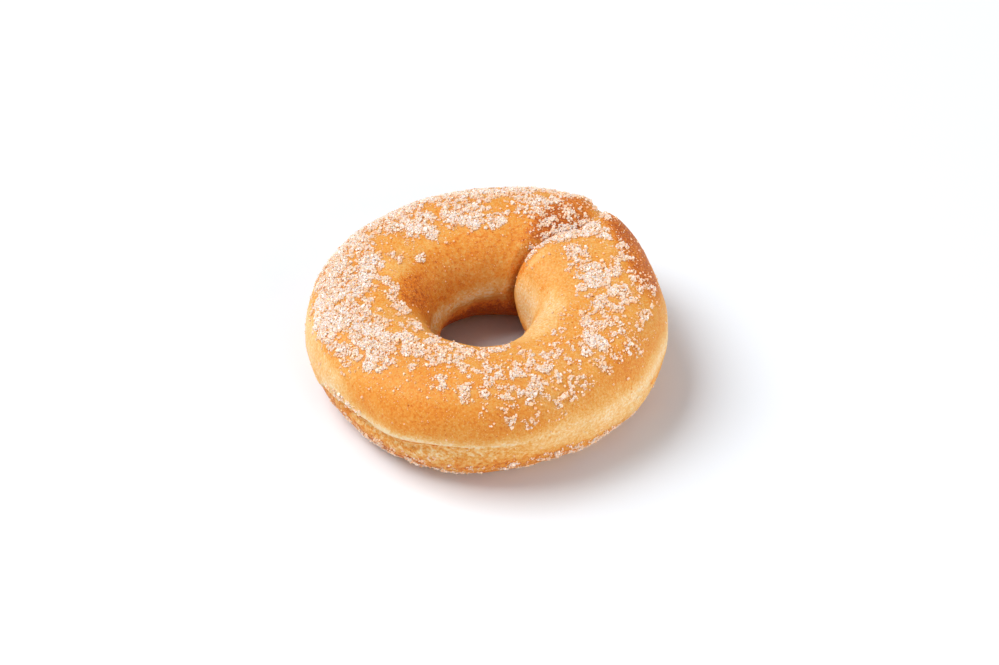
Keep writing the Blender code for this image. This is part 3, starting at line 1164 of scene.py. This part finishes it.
@dataclass
class SugarCoat:
    """The sugar on the dough: drifts of crystals, strays between them and fine dust."""

    skin: Skin
    kinds: tuple[GrainKind, ...] = (
        GrainKind(Grain.COARSE, count=6500, size=0.47 * MM, spread=0.20, spacing=0.60 * MM,
                  pile=0.16 * MM, focus=1.1, stray=0.001, low_share=0.05, seed=21),
        GrainKind(Grain.MEDIUM, count=10600, size=0.36 * MM, spread=0.20, spacing=0.46 * MM,
                  pile=0.12 * MM, focus=1.0, stray=0.003, low_share=0.35, seed=22),
        GrainKind(Grain.FINE, count=12800, size=0.27 * MM, spread=0.20, spacing=0.36 * MM,
                  pile=0.06 * MM, focus=0.8, stray=0.007, low_share=1.2, seed=23),
        GrainKind(Grain.DUST, count=15500, size=0.17 * MM, spread=0.22, spacing=0.24 * MM,
                  pile=0.02 * MM, focus=0.5, stray=0.030, low_share=1.6, seed=24),
    )
    drifts: tuple[Patch, ...] = patches(
        (54, 104, 4, 28, 0.54), (53, 66, 3, 12, 0.50), (76, 96, 4, 10, 0.54), (69, 70, 4, 9, 0.56),
        (97, 108, 5, 11, 0.88), (106, 101, 5, 9, 0.86), (88, 58, 11, 8, 0.80), (99, 84, 4, 12, 0.70),
        (84, 112, 5, 7, 0.58), (122, 104, 5, 10, 0.84), (119, 81, 4, 8, 0.62), (127, 88, 4, 11, 0.84),
        (128, 64, 9, 9, 0.46), (143, 70, 8, 9, 0.46), (139, 121, 5, 4, 0.56), (150, 103, 5, 8, 0.54),
        (158, 92, 4, 6, 0.50), (182, 113, 6, 6, 0.66), (171, 116, 4, 4, 0.44), (169, 108, 4, 6, 0.36),
        (134, 78, 5, 7, 0.80), (163, 55, 7, 9, 0.86), (178, 78, 6, 9, 0.86), (150, 64, 4, 8, 0.74),
        (166, 87, 11, 8, 0.90), (165, 68, 8, 8, 0.50), (193, 56, 7, 17, 0.90), (179, 62, 4, 7, 0.80),
        (186, 46, 12, 12, 0.88), (168, 46, 8, 8, 0.56), (208, 79, 6, 8, 0.88), (215, 68, 4, 8, 0.74),
        (222, 56, 3, 9, 0.90), (195, 43, 6, 8, 0.50), (208, 45, 4, 7, 0.56), (220, 99, 4, 9, 0.70),
        (242, 84, 6, 6, 0.44), (252, 62, 4, 9, 0.36), (262, 54, 3, 8, 0.40), (210, 121, 6, 6, 0.40),
        (191, 120, 7, 8, 0.66), (230, 84, 3, 7, 0.56), (232, 98, 3, 8, 0.62), (234, 111, 5, 8, 0.54),
        (249, 94, 4, 9, 0.72), (256, 103, 4, 14, 0.58), (259, 88, 4, 7, 0.54), (268, 108, 4, 11, 0.60),
        (279, 120, 8, 7, 0.46), (292, 98, 4, 8, 0.24), (283, 68, 3, 9, 0.80), (283, 48, 3, 6, 0.44),
        (290, 48, 3, 7, 0.50), (306, 42, 3, 8, 0.40), (278, 26, 2, 8, 0.30), (296, 70, 4, 8, 0.60),
        (305, 84, 5, 9, 0.44), (318, 106, 6, 5, 0.44), (324, 68, 4, 14, 0.90), (332, 90, 3, 6, 0.56),
        (317, 64, 3, 7, 0.72), (317, 44, 2, 6, 0.46), (334, 46, 5, 5, 0.34), (348, 86, 7, 6, 0.90),
        (358, 71, 4, 10, 0.84), (351, 65, 3, 5, 0.60), (343, 70, 3, 8, 0.24), (367, 93, 9, 10, 1.00),
        (360, 106, 5, 6, 0.70), (372, 76, 4, 8, 0.84), (380, 100, 6, 9, 0.50), (396, 106, 6, 8, 0.68),
        (379, 92, 4, 8, 0.66), (383, 63, 4, 7, 0.62), (390, 56, 4, 6, 0.60), (402, 69, 4, 10, 0.62),
        (408, 78, 4, 16, 0.90), (410, 50, 3, 10, 0.30), (409, 104, 5, 12, 0.56), (364, 42, 4, 7, 0.40),
        (250, 121, 24, 6, 0.40), (222, 9, 5, 4, 0.20), (234, -32, 30, 16, 0.24), (232, -45, 34, 9, 0.38),
        (302, -38, 38, 12, 0.25), (214, 7, 7, 5, 0.22), (116, 42, 58, 22, 0.64), (190, 72, 42, 36, 0.42),
        (105, 80, 48, 32, 0.34), (238, 104, 32, 22, 0.30), (292, 62, 30, 38, 0.30), (345, 74, 36, 36, 0.30),
        (378, 88, 24, 26, 0.34), (57, 96, 9, 38, 0.32),
    )
    bare: tuple[Patch, ...] = patches(
        (143, 90, 5, 14, 0.60), (113, 77, 3, 14, 0.40), (131, 108, 4, 6, 0.36), (213, 98, 5, 7, 0.36),
        (194, 96, 5, 6, 0.26), (168, 120, 3, 4, 0.20), (203, 53, 4, 6, 0.30), (284, 33, 4, 7, 0.30),
        (312, 50, 3, 6, 0.40), (331, 52, 3, 5, 0.30), (330, 98, 4, 6, 0.30), (344, 40, 4, 5, 0.30),
        (348, 58, 4, 6, 0.30), (355, 48, 4, 5, 0.30), (156, 104, 5, 6, 0.40), (115, 108, 4, 8, 0.30),
        (226, 114, 4, 8, 0.36), (262, 92, 3, 8, 0.36), (300, 100, 4, 8, 0.26), (324, 92, 4, 7, 0.36),
        (345, 104, 6, 6, 0.40), (357, 89, 4, 5, 0.36), (367, 67, 3, 7, 0.36), (178, 97, 8, 6, 0.26),
        (86, 86, 4, 12, 0.45), (392, 80, 8, 13, 0.70), (398, 126, 9, 8, 0.50), (188, 103, 7, 8, 0.40),
        (78, 96, 4, 14, 0.26), (244, 116, 3, 8, 0.24),
    )
    seam_angle: float = 410.5
    seam_width: float = 3.2
    seam_amount: float = 0.64
    seam_length: Band = Band(70.0, 156.0, 20.0, 26.0)
    clumps: tuple[Noise, ...] = (
        Noise(3.4 * MM, 0.22, seed=6), Noise(1.7 * MM, 0.34, seed=7),
        Noise(0.85 * MM, 0.50, seed=8),
    )
    gain: float = 1.30
    start: float = 0.28
    edge: float = 1.30
    least: float = 0.02
    stray_top: Band = Band(26.0, 128.0, 26.0, 24.0)
    stray_side: Band = past(-62.0, 20.0)
    stray_side_share: float = 0.12
    stray_end: Band = before(186.0, 10.0)
    # Painted shade on the crust: how much of it follows the drifts and how much the clumps of grains.
    gap_shade_gain: float = 1.4
    gap_shade_drift: float = 0.40
    gap_shade_grains: float = 0.60
    waist: float = 2.0
    tries: int = 4
    lift: float = 0.24
    side_range: tuple[float, float] = (0.75, 1.15)
    flatness: float = 0.85
    unevenness: float = 0.18
    tilt: float = 0.38
    floor_gap: float = 0.05 * MM
    # Each grain's lower corners are tinted towards brown: painted shade, warmed like light bounced from the
    # crust.
    foot: Band = before(0.42)
    foot_painted_shade: float = 0.56
    tint_spread: float = 0.14
    tint_limit: float = 0.56
    edge_tint: float = 0.26
    stray_tint: float = 0.16
    stray_gain: float = 8.0
    warm_share: float = 0.18
    warm_tint: tuple[float, float] = (0.50, 0.08)
    # A share of the grains in thick drifts is painted dark brown, as shade in the gaps between crystals.
    shade_grain_share: float = 0.09
    shade_grain_tint: tuple[float, float] = (0.7, 1.0)
    finish: SugarFinish = SugarFinish()

    def thickness(self) -> Array:
        """Give how thick the sugar lies at each point of the skin, 0 to 1, before it clumps."""
        thick = strongest(self.drifts, self.skin) - strongest(self.bare, self.skin)
        seam = self.seam_amount * bell(self.skin.angle, self.seam_angle, self.seam_width)
        return np.maximum(thick, seam * self.seam_length.share(self.skin.section))

    def cover(self, thick: Array) -> Array:
        """Give how likely sugar lies at each point of the skin, 0 to 1, in ragged clumps."""
        clumps = sum(noise.at(self.skin.points) for noise in self.clumps)
        return ease((self.gain * thick - self.start + clumps) / self.edge) * (thick > self.least)

    def stray(self) -> Array:
        """Give how likely a stray grain sticks at each point of the skin, 0 to 1."""
        section = self.skin.section
        side = self.stray_side_share * self.stray_side.share(section)
        return np.clip(side + self.stray_top.share(section), 0.0, 1.0) * self.stray_end.share(section)

    def build(self, crust: Object) -> list[Object]:
        """Build one piece for each kind of sugar, dress them, and paint shade on the crust where they lie.

        Args:
            crust: the dough's object, which takes the painted shade.

        Returns:
            The pieces.
        """
        material = self.finish.material()
        thick = self.thickness()
        cover, stray = self.cover(thick), self.stray()
        # Painted shade on the crust, between and around the grains.
        under = self.gap_shade_drift * ease(self.gap_shade_gain * thick) + self.gap_shade_grains * cover
        set_numbers(crust.data, "painted_gap_shade", under)
        pieces = []
        for kind in self.kinds:
            mesh = self.scatter(kind, cover, stray)
            mesh.materials.append(material)
            pieces.append(add_object(kind.grain.value, mesh))
        return pieces

    def scatter(self, kind: GrainKind, cover: Array, stray: Array) -> Mesh:
        """Scatter one kind of crystal over the skin as a single mesh of blocky grains.

        Args:
            kind: the kind of crystal.
            cover: how likely sugar lies at each point of the skin.
            stray: how likely a stray grain sticks there.

        Returns:
            The mesh, with a tint for each grain.
        """
        rng = np.random.default_rng(kind.seed)
        points, normals = self.skin.points, self.skin.normals
        along, across = np.roll(points, -1, axis=0) - points, np.roll(points, -1, axis=1) - points
        area = np.linalg.norm(np.cross(along, across), axis=-1)
        low = np.where(self.skin.section < self.waist, kind.low_share, 1.0)
        chance = (cover**kind.focus + kind.stray * stray) * low * area
        chosen = rng.choice(chance.size, size=self.tries * kind.count, p=chance.ravel() / chance.sum())
        shift = rng.uniform(0.0, 1.0, (chosen.size, 2))
        place = points.reshape(-1, 3)[chosen] + shift[:, :1] * along.reshape(-1, 3)[chosen]
        place = place + shift[:, 1:] * across.reshape(-1, 3)[chosen]
        apart = np.unique(np.floor(place / kind.spacing).astype(int), axis=0, return_index=True)[1]
        apart = np.sort(apart)[: kind.count]
        chosen, place = chosen[apart], place[apart]
        size = kind.size * np.exp(rng.normal(0.0, kind.spread, chosen.size))
        thick = cover.ravel()[chosen]
        lift = self.lift * size + kind.pile * thick * rng.uniform(0.0, 1.0, chosen.size) ** 2
        place = place + normals.reshape(-1, 3)[chosen] * lift[:, None]
        upward = normals.reshape(-1, 3)[chosen]
        corners = self.crystals(rng, size, upward)
        foot = self.foot.share(np.einsum("nkj,nj->nk", corners, upward) / size[:, None])
        corners = corners + place[:, None, :]
        corners[..., 2] = np.maximum(corners[..., 2], self.floor_gap)
        quads = CUBE_FACES[None] + 8 * np.arange(chosen.size)[:, None, None]
        mesh = quad_mesh(kind.grain.value, corners.reshape(-1, 3), quads.reshape(-1, 4), smooth=False)
        # The tint adds painted shade on each grain's lower corners, more in thick drifts.
        set_numbers(mesh, "tint", self.tints(rng, thick)[:, None] + self.foot_painted_shade * foot * thick[:, None])
        return mesh

    def tints(self, rng: np.random.Generator, thick: Array) -> Array:
        """Tint the grains: mostly clear in the drifts, warm where they stray, brown as painted shade in the
        gaps.

        Args:
            rng: the source of chance.
            thick: how thick the sugar lies at each grain.

        Returns:
            Each grain's tint, 0 clear to 1 brown.
        """
        lone = self.edge_tint * (1.0 - thick) + self.stray_tint * ease(1.0 - self.stray_gain * thick)
        tint = np.abs(rng.normal(0.0, self.tint_spread, thick.size)) + lone
        tint = np.minimum(tint, self.tint_limit)
        chance = rng.uniform(0.0, 1.0, thick.size)
        tint = np.where(chance < self.warm_share, rng.normal(*self.warm_tint, thick.size), tint)
        # Painted shade: some grains in thick drifts turn brown, standing for the dark gaps between crystals.
        brown = rng.uniform(*self.shade_grain_tint, thick.size)
        tint = np.where(chance < self.shade_grain_share * thick, brown, tint)
        return np.clip(tint, 0.0, 1.0)

    def crystals(self, rng: np.random.Generator, size: Array, upward: Array) -> Array:
        """Give the corners of blocky crystals that lie on the skin, each turned and tilted its own way.

        Args:
            rng: the source of chance.
            size: each crystal's size.
            upward: the skin's normal under each crystal.

        Returns:
            Eight corners for each crystal, round the origin.
        """
        sides = rng.uniform(*self.side_range, (size.size, 1, 3)) * (1.0, 1.0, self.flatness)
        uneven = 1.0 + rng.uniform(-self.unevenness, self.unevenness, (size.size, 8, 3))
        corners = CUBE_CORNERS[None] * sides * uneven
        spin = rng.normal(size=(size.size, 4)) * (1.0, self.tilt, self.tilt, 1.0)
        w, x, y, z = (spin / np.linalg.norm(spin, axis=1, keepdims=True)).T
        turned = np.stack([
            np.stack([1 - 2 * (y * y + z * z), 2 * (x * y - z * w), 2 * (x * z + y * w)], axis=-1),
            np.stack([2 * (x * y + z * w), 1 - 2 * (x * x + z * z), 2 * (y * z - x * w)], axis=-1),
            np.stack([2 * (x * z - y * w), 2 * (y * z + x * w), 1 - 2 * (x * x + y * y)], axis=-1),
        ], axis=-2)
        sideways = np.cross(upward, rng.normal(size=upward.shape))
        sideways = sideways / np.linalg.norm(sideways, axis=1, keepdims=True)
        lying = np.stack([sideways, np.cross(upward, sideways), upward], axis=1)
        corners = np.einsum("nij,nkj->nki", turned, corners)
        return np.einsum("nkj,nji->nki", corners, lying) * 0.5 * size[:, None, None]


@dataclass(frozen=True)
class SoftBox:
    """A square soft box: where it stands, in degrees, its power in watts and its side."""

    name: str
    azimuth: float
    elevation: float
    power: float
    size: float


@dataclass(frozen=True)
class Studio:
    """The white table, the soft light from the back left, three weak fills and the camera."""

    floor_size: float = 6.0
    floor_colour: Colour = (0.85, 0.872, 0.895)
    floor_roughness: tuple[float, float] = (0.72, 0.78)
    world_colour: Colour = (0.92, 0.98, 1.10)
    world_strength: float = 0.31
    box_distance: float = 2.60
    boxes: tuple[SoftBox, ...] = (
        SoftBox("key", azimuth=167.0, elevation=53.0, power=76.0, size=1.8),
        SoftBox("front", azimuth=303.0, elevation=26.0, power=13.0, size=0.9),
        SoftBox("low_front", azimuth=290.0, elevation=8.0, power=9.0, size=0.9),
        SoftBox("side", azimuth=0.0, elevation=8.0, power=27.0, size=1.0),
    )
    lens: float = 90.0
    sensor: float = 36.0
    pixels_per_metre: float = 4030.0
    elevation: float = 40.0
    origin_pixel: tuple[float, float] = (486.35, 369.9)

    def build(self) -> None:
        """Set up the table, the light and the camera."""
        self.lay_floor()
        self.light()
        self.aim_camera()
        bpy.context.scene.view_settings.view_transform = "Standard"

    def lay_floor(self) -> None:
        """Lay a plain white table top."""
        half = 0.5 * self.floor_size
        corners = [(-half, -half, 0.0), (half, -half, 0.0), (half, half, 0.0), (-half, half, 0.0)]
        mesh = bpy.data.meshes.new("table")
        mesh.from_pydata(corners, [], [(0, 1, 2, 3)])
        material, nodes, shader = new_material("white_table")
        grain = EffectGroup.FINE_GRAIN.place(nodes, Scale=900.0, Pores=0.0)
        rough = nodes.span(grain.outputs["Height"], 0.0, 1.0, *self.floor_roughness)
        nodes.fill(shader, Base_Color=(*self.floor_colour, 1.0), Roughness=rough)
        mesh.materials.append(material)
        table = add_object("table", mesh)

    def light(self) -> None:
        """Light the scene with a dim room, a soft key from the back left and three weak fills."""
        world = bpy.data.worlds.new("studio")
        world.use_nodes = True
        background = world.node_tree.nodes["Background"]
        background.inputs["Color"].default_value = (*self.world_colour, 1.0)
        background.inputs["Strength"].default_value = self.world_strength
        bpy.context.scene.world = world
        for box in self.boxes:
            self.hang(box)

    def hang(self, box: SoftBox) -> None:
        """Hang a soft box so that it faces the doughnut.

        Args:
            box: the soft box.
        """
        lamp = bpy.data.lights.new(box.name, "AREA")
        lamp.energy = box.power
        lamp.size = box.size
        turn, rise = math.radians(box.azimuth), math.radians(box.elevation)
        toward = Vector((math.cos(rise) * math.cos(turn), math.cos(rise) * math.sin(turn), math.sin(rise)))
        piece = add_object(box.name, lamp)
        piece.location = toward * self.box_distance
        piece.rotation_euler = toward.to_track_quat("Z", "Y").to_euler()

    def aim_camera(self) -> None:
        """Put the camera where the photograph was taken from."""
        tilt = math.radians(self.elevation)
        ahead = Vector((0.0, math.cos(tilt), -math.sin(tilt)))
        above = Vector((0.0, math.sin(tilt), math.cos(tilt)))
        across = (0.5 * PHOTO_WIDTH - self.origin_pixel[0]) / self.pixels_per_metre
        higher = (self.origin_pixel[1] - 0.5 * PHOTO_HEIGHT) / self.pixels_per_metre
        distance = self.lens / self.sensor * PHOTO_WIDTH / self.pixels_per_metre
        camera = add_object("camera", bpy.data.cameras.new("camera"))
        camera.data.lens = self.lens
        camera.data.sensor_width = self.sensor
        camera.data.clip_start = 0.01
        camera.location = Vector((across, 0.0, 0.0)) + above * higher - ahead * distance
        camera.rotation_euler = (math.radians(90.0) - tilt, 0.0, 0.0)
        bpy.context.scene.camera = camera


def report(piece: Object) -> None:
    """Log a finished piece and how many faces it has."""
    LOG.info("%s: %d faces", piece.name, len(piece.data.polygons))


def main() -> None:
    """Build the doughnut's pieces in order."""
    logging.basicConfig(level=logging.INFO, format="%(name)s: %(message)s")
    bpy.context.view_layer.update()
    dough = Dough(shape=DoughShape())
    crust = dough.build()
    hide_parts(DOUGH_NODE)
    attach(crust, BODY)
    report(crust)
    for piece in SugarCoat(skin=dough.skin).build(crust):
        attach(piece, BODY)
        report(piece)
    Studio().build()


if __name__ == "__main__":
    main()
